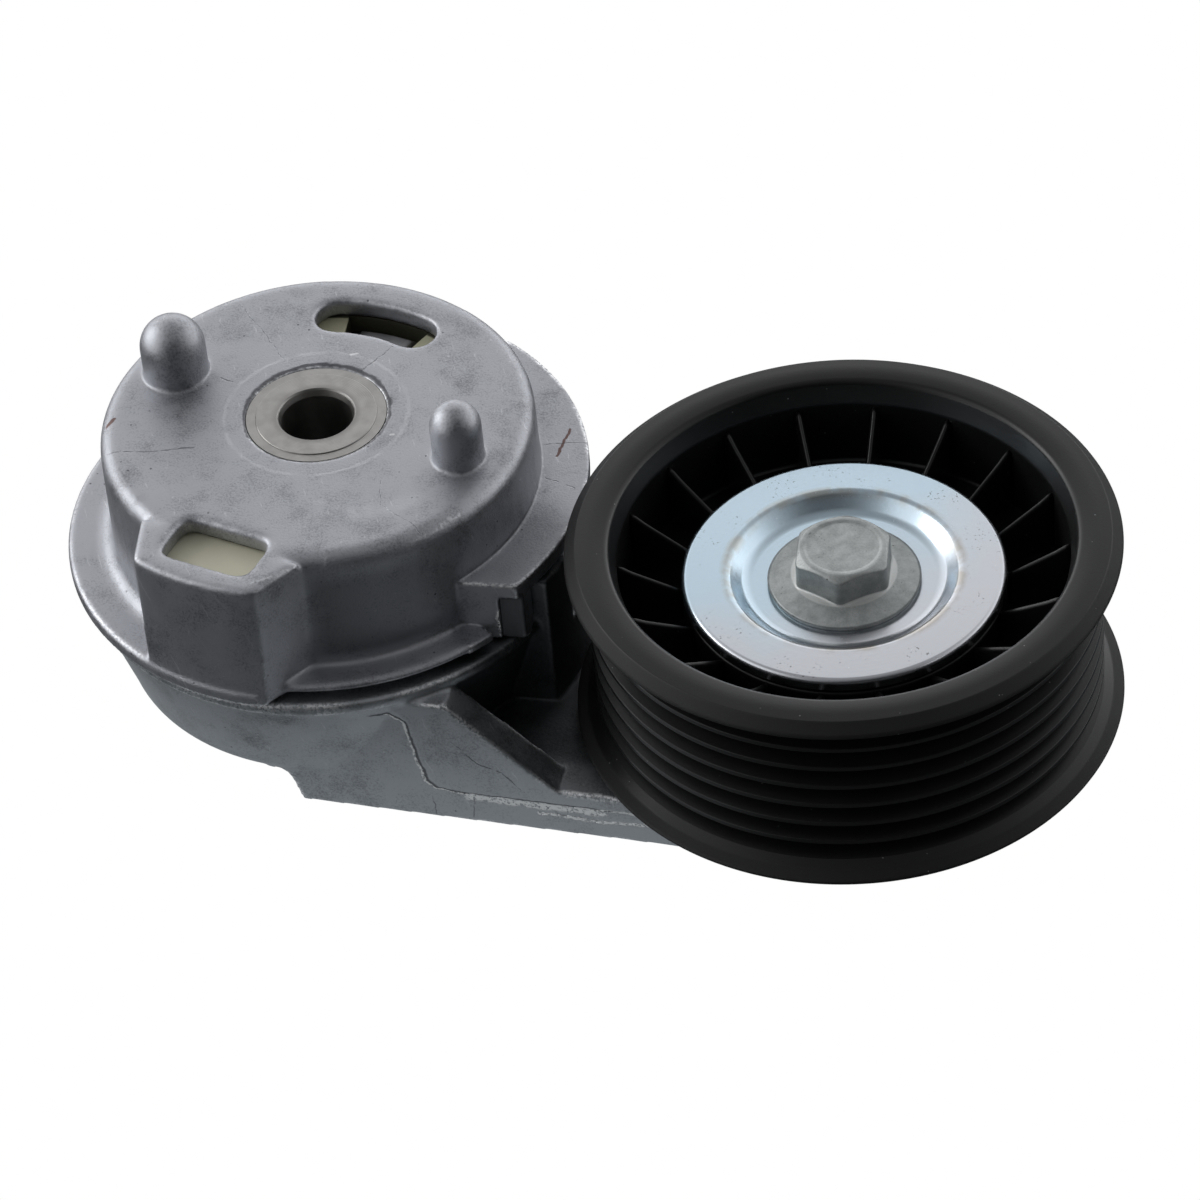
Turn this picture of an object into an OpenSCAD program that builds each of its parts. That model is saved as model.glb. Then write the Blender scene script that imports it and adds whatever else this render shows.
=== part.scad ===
/* [Layout] */
// Distance from the pivot axis to the pulley axis
arm_reach = 79; // [78:0.5:95]
// Swing of the arm between its two stops, in degrees
arm_swing = 55; // [20:1:58]

/* [Base housing] */
// Height of the housing from the mounting face to its lower edge
base_h = 22; // [21:0.5:26]
// Outer radius of the drum
drum_r = 31.8; // [31:0.1:32.2]
// Wall of the drum
drum_wall = 3.4; // [2.5:0.1:3.8]
// Thickness of the mounting wall
top_wall = 3.2; // [2.5:0.1:4]
// Narrowing of the drum towards the mounting face
drum_draft = 0.3; // [0.25:0.05:0.6]
// Rounding around the mounting face
drum_round = 2.5; // [0.8:0.1:3]
// How far the drum's skirt reaches into the arm's cup
skirt_drop = 1.6; // [0.8:0.1:2.4]
// Radius of the lower flange
flange_r = 38.6; // [37.5:0.1:39]
// Thickness of the lower flange
flange_t = 2.4; // [1.8:0.1:3.5]
// Fillet between the drum and the flange
flange_fillet = 3; // [1.5:0.1:4]
// Rounding of the flange's upper edge
flange_round = 1; // [0.4:0.1:1.6]
// Radius of the front ledge between the damper box and the stop
ledge_r = 36.6; // [35.5:0.1:37.4]
// Fillet between the drum and the front ledge
ledge_fillet = 0.9; // [0.5:0.1:1.6]
// How far the front ledge stops above the housing's lower edge
ledge_lift = 1.1; // [0.5:0.1:1.5]

/* [Damper box] */
// Direction of the damper box from the pivot axis, in degrees
box_a = -97; // [-100:0.5:-94]
// Radius of the box's front face
box_r = 38.2; // [37.6:0.1:38.6]
// Half width of the box where it leaves the drum
box_half_in = 12.9; // [12:0.1:14]
// Half width of the box at its front face
box_half_out = 9.2; // [9:0.1:10.5]
// How far the box's top lies below the mounting face
box_step = 0.05; // [0.05:0.05:0.4]
// Wall of the box in front of the shoe
box_wall = 2.8; // [2:0.1:3.4]
// Width of the window in the box's top
window_w = 13.8; // [11:0.1:15]
// Length of that window along the radius
window_l = 7.8; // [6:0.1:8.2]
// Distance of the window's middle from the pivot axis
window_at = 30.3; // [29.9:0.1:30.6]
// Corner radius of that window
window_round = 1.6; // [1:0.1:2.5]

/* [Spring slot] */
// Radius of the curved slot's centre line
slot_r = 22.1; // [21.6:0.1:22.6]
// Width of the curved slot
slot_w = 6.6; // [5.5:0.1:7]
// Direction of the slot's first end, in degrees
slot_a0 = 71; // [66:0.5:74]
// Direction of the slot's other end, in degrees
slot_a1 = 103; // [100:0.5:108]

/* [Stop roof] */
// Depth of the stop roof below the mounting face
roof_depth = 11.6; // [10.5:0.1:12.5]
// Thickness of the roof
roof_t = 2.6; // [2:0.1:3.2]
// Direction of the roof's front corner, in degrees
roof_a0 = -24; // [-25:0.5:-23]
// Direction of the roof's far end, in degrees
roof_a1 = 66; // [64:0.5:80]
// Slant of the roof's front face, in degrees
roof_slant = 8.5; // [4:0.5:12]
// Width of the stop lug along that face
lug_w = 2.8; // [2:0.1:4]
// How far the lug sits behind that face
lug_back = 0.7; // [0.3:0.1:1.2]
// Thickness of the front stop wall
stop_wall = 4.6; // [3.6:0.1:4.8]

/* [Locating pegs] */
// Distance of the pegs from the pivot axis
peg_at = 23.6; // [23:0.1:24.2]
// Direction of the large peg, in degrees
peg_a = 171; // [168:0.5:174]
// Radius of the large peg
peg_big_r = 4.8; // [4.2:0.1:5.2]
// Radius of the small peg
peg_small_r = 3.75; // [3.2:0.05:4.2]
// Height of the pegs
peg_h = 9.7; // [8:0.1:11]
// Radius of the fillet at the foot of a peg
peg_foot = 0.5; // [0.3:0.1:0.8]

/* [Pivot] */
// Radius of the bore for the mounting bolt
bolt_bore_r = 5.2; // [4.6:0.05:5.6]
// Chamfer at the lower end of that bore
bore_chamfer = 0.5; // [0.2:0.1:0.8]
// Outer radius of the pivot tube
tube_r = 8.8; // [8.4:0.05:9]
// Outer radius of the mounting sleeve
sleeve_r = 10.2; // [9.8:0.1:10.6]
// How far the sleeve's face lies below the mounting face
sleeve_sink = 0.15; // [0.05:0.05:0.4]
// Outer radius of the housing's inner boss
boss_r = 14; // [13.4:0.1:14.6]
// Depth of the boss and the sleeve below the mounting face
boss_depth = 6.5; // [6.2:0.1:7]
// Wall of the pivot bush
bush_wall = 1.75; // [1.2:0.05:2]
// Thickness of the pivot bush's flange
bush_flange = 1.3; // [0.8:0.1:1.6]
// Outer radius of the arm's inner sleeve
arm_sleeve_r = 13; // [12.8:0.1:13.4]
// Thickness of the thrust washer
thrust_t = 1.5; // [1:0.1:2]
// Thickness of the end plate
end_plate_t = 2.4; // [1.6:0.1:2.6]
// Radius of the end plate
end_plate_r = 17; // [15:0.5:18]
// Height of the tube's rolled end
roll_t = 1; // [0.6:0.1:1.2]
// Radius of the tube's rolled end
roll_r = 10.6; // [10:0.1:11.5]

/* [Arm] */
// Gap between the base and the arm's rim
rim_gap = 0.6; // [0.4:0.1:1]
// Radius of the arm's rim
rim_r = 37.4; // [37:0.1:38.4]
// Height of the arm's rim
rim_h = 1.9; // [1.6:0.1:3]
// Chamfer at the rim's edges
rim_edge = 0.5; // [0.3:0.1:0.8]
// Height of the hub from the rim's top to its underside
hub_h = 18.6; // [17.6:0.1:20]
// Radius of the hub just below the rim
hub_r = 36.4; // [35.6:0.1:37]
// Radius of the hub near its underside
hub_low_r = 32.4; // [32:0.1:33.5]
// Rounding around the hub's underside
hub_round = 2.2; // [1:0.1:3]
// Wall of the hub's cup
cup_wall = 3.6; // [3:0.1:4]
// Floor of the hub's cup
cup_floor = 4.2; // [3.5:0.1:5]
// Thickness of the arm's plate
plate_t = 8.4; // [7:0.1:9]
// How far the plate's underside lies below the hub's
plate_drop = 5.8; // [5.6:0.1:7]
// Radius of the plate's outline around the pivot
plate_hub_r = 31.5; // [30.5:0.1:32]
// Radius of the plate's outline around the pulley axis
plate_end_r = 24.5; // [20:0.1:26]
// Length of the step at the plate's hub end
ramp_l = 4.8; // [3.6:0.1:6]
// Radius in the corner of that step
ramp_round = 3; // [1:0.1:3.4]
// Thickness of the front wall
wall_t = 5; // [4:0.1:6]
// Where the front wall starts along the arm
wall_s0 = 6; // [4:0.5:9]
// Where the top of the front wall starts to fall
wall_s1 = 25.4; // [22:0.2:28]
// Where the front wall runs out
wall_s2 = 41; // [36:0.5:44]
// How far the front wall's skin stands proud
wall_proud = 0.25; // [0.1:0.05:0.5]
// Where the skin's seam comes down along the arm
seam_s = 21; // [18:0.2:24]
// Depth of the seam below the plate's top
seam_depth = 2.7; // [1.6:0.1:4]
// Radius of the boss under the bearing
spindle_boss_r = 11.9; // [11:0.1:12]
// Radius of the round spot face around the end plate
spot_r = 19; // [18.4:0.1:21]

/* [Stop post] */
// Gap between the post and the stop wall at rest
post_gap = 0.6; // [0.3:0.1:1]
// Width of the post
post_w = 6.5; // [5:0.1:7.5]
// How far the post reaches in beyond the stop lug
post_l = 0.6; // [0.2:0.1:1.4]
// How far the web behind the post is set back from its face
web_back = 2; // [1:0.1:3]
// Gap between the post and the roof
post_head = 1; // [0.5:0.1:2]
// Outer radius of the post
post_r = 38.8; // [38.2:0.1:38.9]

/* [Torsion spring] */
// Mean radius of the spring's coils
spring_r = 22.2; // [21.5:0.1:22.8]
// Width of the spring wire along the radius
wire_w = 4.2; // [3:0.1:4.6]
// Height of the spring wire
wire_h = 4; // [3:0.1:4.2]
// Number of coils
coils = 5; // [3:0.25:5]
// Direction of the upper wire end, in degrees
tang_a = 75; // [74:0.5:80]
// How far the upper wire end rises into the bushing
tang_rise = 2; // [1:0.1:2.4]
// Angle over which it rises, in degrees
tang_span = 25; // [20:1:34]
// Thickness of the spring bushing
spring_bushing_t = 3; // [2.4:0.1:3.2]
// Thickness of the lower spring seat
spring_seat_t = 1.8; // [1.2:0.1:2.6]

/* [Pulley] */
// Radius of the pulley's flanges
pulley_r = 39.45; // [38.8:0.05:39.5]
// Width of the pulley
pulley_w = 31.9; // [31.5:0.1:36]
// Gap between the pulley and the arm's plate
pulley_gap = 1.7; // [1.5:0.1:3]
// Radius over the rib crests
crest_r = 36.5; // [36:0.1:37.2]
// Distance from one belt groove to the next
groove_pitch = 3.56; // [3.56:0.01:3.6]
// Number of belt grooves
grooves = 7; // [5:1:7]
// Depth of a belt groove
groove_depth = 2.4; // [1.8:0.1:2.6]
// Width of a crest
crest_w = 0.7; // [0.4:0.05:1]
// Width of a groove's floor
groove_floor = 1; // [0.6:0.05:1.2]
// Inner radius of the pulley's rim
rim_inner_r = 32; // [31:0.1:32.4]
// Rounding at the mouth of the rim
rim_mouth = 3.5; // [2:0.1:4]
// Rounding at the outer edge of a flange
flange_edge = 1.9; // [0.8:0.1:2]
// Wall of the pulley's hub around the bearing
pulley_hub_wall = 3; // [2.4:0.1:3.4]
// How far the hub overhangs the bearing at each end
pulley_hub_over = 0.8; // [0.4:0.1:1]
// Thickness of the pulley's web
web_t = 3; // [2:0.1:4]
// Number of spokes on each side of the web
spokes = 18; // [12:1:20]
// Thickness of a spoke
spoke_t = 1.3; // [0.9:0.1:1.8]
// Depth of a spoke's outer end below the pulley's face
spoke_depth = 4; // [3.6:0.1:6]
// Depth of a spoke's inner end below the hub's face
spoke_sink = 0.5; // [0.3:0.1:1.5]
// Direction of the first spoke, in degrees
spoke_a = 19; // [0:1:20]

/* [Bearing] */
// Wall of a ring between the balls and the ring's seat
race_wall = 2.45; // [2.1:0.05:2.8]
// Width of the bearing
bearing_w = 12; // [11.6:0.1:13]
// Radius of the balls' pitch circle
pitch_r = 14.25; // [13.9:0.05:14.6]
// Ball radius
ball_r = 3.3; // [3:0.05:3.4]
// Number of balls
balls = 8; // [6:1:9]
// Thickness of a seal
seal_t = 0.8; // [0.5:0.1:1]
// How far a seal sits inside the bearing's face
seal_in = 0.6; // [0.4:0.1:0.8]

/* [Shield and bolt] */
// Thickness of the dust shield
shield_t = 1; // [0.7:0.1:1.2]
// Radius of the dust shield
shield_r = 23.1; // [22.4:0.1:23.8]
// Radius of the dish at the shield's face
dish_r = 16.5; // [15.6:0.1:17.4]
// Radius of the dish's floor
dish_floor_r = 14; // [12.5:0.1:14.4]
// Depth of the dish
dish_depth = 2.3; // [1.8:0.1:2.6]
// Drop of the shield's rolled edge
shield_drop = 1.6; // [1.2:0.1:1.9]
// Bolt thread radius
bolt_r = 5; // [4:0.5:5]
// Bolt length under its head
bolt_l = 27; // [20:1:28]
// Width of the hexagon across its flats
hex_af = 13; // [12:0.5:14]
// Height of the bolt's head
hex_h = 6.5; // [5.5:0.1:7.5]
// Radius of the bolt's flange
bolt_flange_r = 10.65; // [9.5:0.05:11.5]
// Thickness of the bolt's flange at its rim
bolt_flange_t = 0.9; // [0.6:0.1:1.4]
// Direction of one corner of the hexagon, in degrees
hex_a = -17.5; // [-30:0.5:30]
// Radius over the hexagon's worn corners
hex_corner_r = 7.3; // [7:0.1:8.2]

/* [Clearances] */
// Running clearance of a turning fit, on the radius
run_clear = 0.05; // [0.02:0.01:0.1]
// Clearance of a fixed fit, on the radius
fit_clear = 0.02; // [0.01:0.01:0.04]
// Free gap between pieces that must not rub
free_gap = 0.3; // [0.2:0.05:0.4]

/* [Hidden] */
$fn = 96;
eps = 0.01;
cut = 80;

z_base = -base_h;
z_rim = z_base - rim_gap;
z_rim_low = z_rim - rim_h;
z_hub_low = z_rim - hub_h;
z_cup = z_hub_low + cup_floor;
z_plate_low = z_hub_low - plate_drop;
z_plate = z_plate_low + plate_t;
z_pulley_low = z_plate + pulley_gap;
z_pulley = z_pulley_low + pulley_w;
z_mid = (z_pulley + z_pulley_low) / 2;
z_bearing = z_mid + bearing_w / 2;
z_bearing_low = z_mid - bearing_w / 2;
z_dish = z_bearing + shield_t;
z_shield = z_dish + dish_depth;
z_bush_top = -boss_depth - run_clear;
z_sleeve_top = z_bush_top - bush_flange;
z_end_plate = z_hub_low - thrust_t - run_clear;
z_roll = z_end_plate - end_plate_t;
z_roof_low = -roof_depth - roof_t;

cavity_r = drum_r - drum_wall;
bush_r = tube_r + run_clear + bush_wall;
plate_slant = asin((plate_hub_r - plate_end_r) / arm_reach);
bearing_r = pitch_r + ball_r + race_wall;
bearing_bore_r = pitch_r - ball_r - race_wall;
spindle_r = bearing_bore_r - fit_clear;
race_r = ball_r + 0.15;
shoulder_in_r = pitch_r - race_r * 0.62;
shoulder_out_r = pitch_r + race_r * 0.62;
seal_seat_r = shoulder_out_r + 0.5;
shoe_half = box_half_out - box_wall + 1.4;
shoe_in = window_at - window_l / 2 - 0.6;
shoe_out = sqrt(pow(box_r - box_wall, 2) - pow(shoe_half, 2));

function polar(r, a) = [r * cos(a), r * sin(a)];
function arc(cx, cy, r, a0, a1, n = 8) = [for (i = [0:n]) [cx, cy] + polar(r, a0 + (a1 - a0) * i / n)];

// A pie slice from one direction to another
module wedge(r, a0, a1) {
    polygon(concat([[0, 0]], [for (i = [0:8]) polar(2 * r, a0 + (a1 - a0) * i / 8)]));
}

// A flat ring sector
module sector(r_in, r_out, a0, a1) {
    intersection() {
        difference() {
            circle(r_out);
            circle(r_in);
        }
        wedge(r_out, a0, a1);
    }
}

// A flat outline raised from one height to another
module slab(z0, z1) {
    translate([0, 0, z0]) linear_extrude(z1 - z0) children();
}

// A rectangle with round corners, centred
module round_rect(w, l, r) {
    square([w - 2 * r, l], center = true);
    square([w, l - 2 * r], center = true);
    for (x = [-1, 1], y = [-1, 1]) translate([x * (w / 2 - r), y * (l / 2 - r)]) circle(r);
}

// A curved slot with round ends
module curved_slot(r, w, a0, a1) {
    sector(r - w / 2, r + w / 2, a0, a1);
    for (a = [a0, a1]) translate(polar(r, a)) circle(w / 2);
}

// A ring between two heights
module ring(r_in, r_out, z0, z1) {
    slab(z0, z1) difference() {
        circle(r_out);
        circle(r_in);
    }
}

// Turns a frame so that +Y points along the damper box's radius
module at_box() {
    rotate(box_a - 90) children();
}

// Puts a frame on the roof's front corner, with +X along the front face and +Y into the roof
module at_stop() {
    translate(polar(flange_r, roof_a0)) rotate(roof_slant) children();
}

// A locating peg with a domed end and a filleted foot
module peg(r) {
    rotate_extrude() polygon(concat(
        [[0, -top_wall / 2], [r + peg_foot, -top_wall / 2], [r + peg_foot, 0]],
        arc(r + peg_foot, peg_foot, peg_foot, 270, 180, 4),
        arc(0, peg_h - r, r, 0, 90, 12)));
}

module drum() {
    top_r = drum_r - drum_draft;
    rotate_extrude() polygon(concat(
        [[sleeve_r, 0]],
        arc(top_r - drum_round, -drum_round, drum_round, 90, 0, 6),
        [[drum_r, z_base - skirt_drop], [cavity_r, z_base - skirt_drop], [cavity_r, -top_wall],
            [boss_r, -top_wall], [boss_r, -boss_depth], [sleeve_r, -boss_depth]]));
}

// The fillet where the drum's wall meets a ledge
module foot_blend(z_top, r) {
    rotate_extrude() polygon(concat(
        [[drum_r - 1, z_top - eps]],
        arc(drum_r + r - free_gap, z_top + r, r, 270, 180, 6),
        [[drum_r - 1, z_top + r]]));
}

// The back and left stretch of the wide lower flange, which ends at the box's far corner
module wide_flange() {
    z_top = z_base + flange_t;
    corner_a = asin(box_half_out / box_r) - 1;
    intersection() {
        union() {
            rotate_extrude() polygon(concat(
                [[drum_r - 1, z_base], [flange_r, z_base]],
                arc(flange_r - flange_round, z_top - flange_round, flange_round, 0, 90, 5),
                [[drum_r - 1, z_top]]));
            foot_blend(z_top, flange_fillet);
        }
        slab(z_base, 0) wedge(flange_r, roof_a1, 360 + box_a + corner_a);
    }
}

// The narrow ledge from the box to the front stop
module front_ledge() {
    z_top = z_base + flange_t;
    intersection() {
        union() {
            ring(drum_r - 1, ledge_r, z_base + ledge_lift, z_top);
            foot_blend(z_top, ledge_fillet);
        }
        slab(z_base, 0) wedge(flange_r, box_a, roof_a0 - 5);
    }
}

module damper_box() {
    v_in = drum_r - 3;
    slab(z_base, -box_step) intersection() {
        circle(box_r);
        at_box() polygon([[-box_half_in, v_in], [-box_half_out, box_r], [box_half_out, box_r],
            [box_half_in, v_in]]);
    }
}

module stop_roof() {
    slab(-roof_depth - roof_t, -roof_depth) difference() {
        sector(drum_r - 1, flange_r, roof_a0 - 18, roof_a1);
        at_stop() translate([-cut / 2, -cut]) square(cut);
    }
    slab(z_base, -roof_depth) sector(drum_r - 1, flange_r, stop_far_a(), roof_a1);
    slab(z_base, -roof_depth - eps) intersection() {
        circle(flange_r);
        at_stop() translate([-13, 0]) square([13 - lug_w, stop_wall]);
    }
    slab(z_base - rim_gap / 2, -roof_depth - lug_back) intersection() {
        circle(flange_r);
        at_stop() translate([-lug_w - eps, lug_back]) square([lug_w + 1, stop_wall - lug_back]);
    }
}

// Direction at which the far stop meets the post after the whole swing
function stop_far_a() = post_back_a() + arm_swing + 1.5;

function stop_corner() = polar(flange_r, roof_a0) + rot2([-lug_w, stop_wall + post_gap], roof_slant);
function rot2(p, a) = [p[0] * cos(a) - p[1] * sin(a), p[0] * sin(a) + p[1] * cos(a)];
function post_back() = stop_corner() + rot2([lug_w, post_w], roof_slant);
function post_back_a() = atan2(post_back()[1], post_back()[0]) + 2;

module base_housing() color("#9a9da0") {
    difference() {
        union() {
            drum();
            wide_flange();
            front_ledge();
            difference() {
                damper_box();
                slab(z_base - 1, -top_wall) circle(cavity_r);
            }
            stop_roof();
            translate(polar(peg_at, peg_a)) peg(peg_big_r);
            translate(polar(peg_at, peg_a + 180)) peg(peg_small_r);
        }
        slab(-top_wall - 1, 1) curved_slot(slot_r, slot_w, slot_a0, slot_a1);
        slab(-top_wall - 1, 1) at_box() translate([0, window_at])
            round_rect(window_w, window_l, window_round);
        slab(z_base - skirt_drop - 1, -top_wall) at_box()
            translate([-shoe_half - fit_clear, shoe_in - 1])
                square([2 * (shoe_half + fit_clear), shoe_out - shoe_in + 1 + fit_clear]);
    }
}

module pivot_tube() color("#a8a59c") {
    rotate_extrude() polygon([[bolt_bore_r, 0], [tube_r, 0], [tube_r, z_roll], [roll_r, z_roll], [roll_r, z_roll - roll_t / 2],
        [roll_r - roll_t / 2, z_roll - roll_t], [bolt_bore_r + bore_chamfer, z_roll - roll_t],
        [bolt_bore_r, z_roll - roll_t + bore_chamfer]]);
}

module mounting_sleeve() color("#a5a298") {
    ring(tube_r + fit_clear, sleeve_r - fit_clear, -boss_depth, -sleeve_sink);
}

module damper_shoe() color("#cfc9a8") {
    slab(z_rim + run_clear, -top_wall) at_box() translate([-shoe_half, shoe_in])
        square([2 * shoe_half, shoe_out - shoe_in]);
}

module spring_bushing() color("#c9c5a2") {
    slab(-top_wall - spring_bushing_t, -top_wall) difference() {
        circle(cavity_r - fit_clear);
        circle(boss_r + fit_clear);
        at_box() translate([-shoe_half - free_gap, shoe_in - free_gap]) square(2 * shoe_half + 2 * free_gap);
        sector(spring_r - wire_w / 2 - 0.6, spring_r + wire_w / 2 + 1.4, tang_a - 3, tang_a + tang_span + 1);
    }
}

// The spring's wire: a flat section swept along a helix, whose upper end rises into the bushing
rings_per_coil = 24;
spring_top = -top_wall - spring_bushing_t - free_gap - wire_h / 2;
spring_low = z_cup + spring_seat_t + free_gap / 2 + wire_h / 2;
spring_pitch = (spring_top - spring_low) / coils;
spring_steps = round(coils * rings_per_coil);
function wire_turn(i) = i * 360 * coils / spring_steps;
function wire_rise(t) = t < tang_span ? tang_rise * (1 - t / tang_span) : 0;
function wire_z(t) = spring_top - spring_pitch * t / 360 + wire_rise(t);
function wire_ring(i) = let (t = wire_turn(i), a = tang_a + t, z = wire_z(t))
    [for (c = [[-1, -1], [1, -1], [1, 1], [-1, 1]])
        concat(polar(spring_r + c[0] * wire_w / 2, a), [z + c[1] * wire_h / 2])];
least_coil_gap = min([for (i = [0:spring_steps - rings_per_coil])
    wire_z(wire_turn(i)) - wire_z(wire_turn(i + rings_per_coil)) - wire_h]);

module torsion_spring() color("#70737a") {
    n = spring_steps + 1;
    points = [for (i = [0:n - 1]) each wire_ring(i)];
    sides = [for (i = [0:n - 2], k = [0:3]) let (a = 4 * i + k, b = 4 * i + (k + 1) % 4)
        each [[a, a + 4, b], [b, a + 4, b + 4]]];
    last = 4 * (n - 1);
    ends = [[0, 1, 2], [0, 2, 3], [last, last + 2, last + 1], [last, last + 3, last + 2]];
    polyhedron(points, concat(sides, ends));
    echo(least_coil_gap = least_coil_gap);
}

// The hub's outside, filled, with the sleeve that stands in its middle
module hub_body() {
    rotate_extrude() polygon(concat(
        [[0, z_rim], [rim_r - rim_edge, z_rim], [rim_r, z_rim - rim_edge], [rim_r, z_rim_low],
            [hub_r, z_rim_low - rim_edge]],
        arc(hub_low_r - hub_round, z_hub_low + hub_round, hub_round, 0, -90, 6),
        [[0, z_hub_low]]));
    slab(z_cup - 1, z_sleeve_top) circle(arm_sleeve_r);
}

// The space for the spring around that sleeve
module cup_space() {
    rotate_extrude() polygon([[arm_sleeve_r, z_cup], [hub_low_r - cup_wall - 1, z_cup],
        [hub_r - cup_wall, z_rim_low], [hub_r - cup_wall, 0], [arm_sleeve_r, 0]]);
}

// The plate's outline: straight sides that touch the hub's circle and the end's circle
module plate_outline() {
    far = [arm_reach, 0];
    side = [sin(plate_slant), cos(plate_slant)];
    x0 = ramp_l - ramp_round - 2;
    y0 = (plate_hub_r - x0 * side[0]) / side[1];
    end = far + side * plate_end_r;
    translate(far) circle(plate_end_r);
    polygon([[x0, -y0], [end[0], -end[1]], end, [x0, y0]]);
}

module arm_plate() {
    difference() {
        slab(z_plate_low, z_plate) plate_outline();
        translate([0, cut / 2, 0]) rotate([90, 0, 0]) linear_extrude(cut)
            polygon(concat([[-cut, z_hub_low]],
                arc(ramp_l - ramp_round - 1, z_hub_low - ramp_round, ramp_round, 90, 12, 6),
                [[ramp_l, z_plate_low - eps], [-cut, z_plate_low - eps]]));
        slab(z_plate_low - 1, z_hub_low) circle(spot_r);
    }
}

// Stands a flat outline, drawn along the arm and in height, on the plate's front side
module on_front(inside, outside) {
    rotate(plate_slant) translate([0, inside - plate_hub_r, 0]) rotate([90, 0, 0])
        linear_extrude(inside + outside) children();
}

// The front wall, with the proud skin that ends at the casting's seam
module front_wall() {
    z_top = z_rim_low + 0.2;
    z_seam = z_plate - seam_depth;
    on_front(wall_t, -fit_clear) polygon([[wall_s0, z_plate - 1], [wall_s0, z_top], [wall_s1, z_top],
        [wall_s2, z_plate], [wall_s2, z_plate - 1]]);
    on_front(1, wall_proud) polygon([[seam_s - 10, z_top], [seam_s - 4, z_top - 2.5],
        [seam_s - 1.6, z_top - 4], [seam_s - 1, z_top - 7.5], [seam_s, z_seam + 4.4],
        [seam_s + 0.8, z_seam + 1.6], [seam_s + 2.2, z_seam + 0.4], [seam_s + 4, z_seam],
        [arm_reach - 10, z_seam], [arm_reach - 10, z_plate], [wall_s2, z_plate], [wall_s1, z_top]]);
}

// The post that runs between the two stops, with a set-back web to the hub and a broad foot
module stop_post() {
    front = stop_wall + post_gap;
    slab(z_plate - 1, z_roof_low - post_head) intersection() {
        circle(post_r);
        at_stop() translate([-post_l - lug_w, front]) square([post_l + lug_w + 6, post_w]);
    }
    slab(z_plate - 1, z_rim_low - 3) intersection() {
        circle(post_r);
        at_stop() translate([-10, front + web_back]) square([16, 2 * post_w - web_back]);
    }
}

module pulley_spindle() {
    translate([arm_reach, 0]) {
        slab(z_plate - 1, z_bearing_low) circle(spindle_boss_r);
        slab(z_plate - 1, z_bearing - 0.4) circle(spindle_r);
    }
}

module arm_casting() color("#8f9396") {
    difference() {
        union() {
            hub_body();
            arm_plate();
            front_wall();
            stop_post();
            pulley_spindle();
        }
        cup_space();
        slab(z_hub_low - 1, 0) circle(bush_r + fit_clear);
        translate([arm_reach, 0]) slab(z_dish - bolt_l - 1, 0) circle(bolt_r + fit_clear);
    }
}

module pivot_bushing() color("#d8d4c0") {
    rotate_extrude() polygon([[tube_r + run_clear, z_bush_top], [arm_sleeve_r, z_bush_top],
        [arm_sleeve_r, z_sleeve_top], [bush_r, z_sleeve_top], [bush_r, z_hub_low],
        [tube_r + run_clear, z_hub_low]]);
}

module spring_seat() color("#c9c5a2") {
    ring(arm_sleeve_r + fit_clear, spring_r + wire_w / 2 + 1, z_cup, z_cup + spring_seat_t);
}

module thrust_washer() color("#d8d4c0") {
    ring(tube_r + run_clear, end_plate_r - 0.5, z_hub_low - thrust_t, z_hub_low);
}

module end_plate() color("#8b8d8f") {
    ring(tube_r + fit_clear, end_plate_r, z_roll, z_end_plate);
}

// The pulley's belt face, from the upper flange's edge to the lower one's
function belt_face() = let (top = z_mid + grooves * groove_pitch / 2, deep = crest_r - groove_depth)
    [for (k = [0:grooves - 1]) let (z = top - (k + 0.5) * groove_pitch)
        each [[crest_r, z + (groove_pitch - crest_w) / 2], [deep, z + groove_floor / 2],
            [deep, z - groove_floor / 2], [crest_r, z - (groove_pitch - crest_w) / 2]]];

function flange_profile(z, s) = [[pulley_r - flange_edge, z], [pulley_r - 0.45, z - s * 0.45],
    [pulley_r, z - s * flange_edge], [pulley_r - 0.3, z - s * (flange_edge + 0.8)]];

function reversed(v) = [for (i = [len(v) - 1:-1:0]) v[i]];

module pulley_body() {
    hub_in = bearing_r + fit_clear;
    hub_out = bearing_r + pulley_hub_wall;
    rotate_extrude() polygon(concat(
        arc(rim_inner_r + rim_mouth, z_pulley - rim_mouth, rim_mouth, 180, 90, 8),
        flange_profile(z_pulley, 1),
        belt_face(),
        reversed(flange_profile(z_pulley_low, -1)),
        arc(rim_inner_r + rim_mouth, z_pulley_low + rim_mouth, rim_mouth, 270, 180, 8),
        [[rim_inner_r, z_mid - web_t / 2], [hub_out, z_mid - web_t / 2],
            [hub_out, z_bearing_low - pulley_hub_over], [hub_in, z_bearing_low - pulley_hub_over],
            [hub_in, z_bearing + pulley_hub_over], [hub_out, z_bearing + pulley_hub_over],
            [hub_out, z_mid + web_t / 2], [rim_inner_r, z_mid + web_t / 2]]));
}

module spoke(z_hub, z_rim) {
    r0 = bearing_r + pulley_hub_wall - 0.6;
    r1 = rim_inner_r + 0.6;
    translate([0, spoke_t / 2, 0]) rotate([90, 0, 0]) linear_extrude(spoke_t)
        polygon([[r0, z_mid], [r1, z_mid], [r1, z_rim], [r0, z_hub]]);
}

module pulley_wheel() color("#1c1c1e") {
    translate([arm_reach, 0, 0]) {
        pulley_body();
        for (i = [0:spokes - 1]) rotate(spoke_a + i * 360 / spokes) {
            spoke(z_bearing + pulley_hub_over - spoke_sink, z_pulley - spoke_depth);
            spoke(z_bearing_low - pulley_hub_over + spoke_sink, z_pulley_low + spoke_depth);
        }
    }
}

module race_groove() {
    translate([arm_reach, 0, z_mid]) rotate_extrude() translate([pitch_r, 0]) circle(race_r);
}

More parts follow.
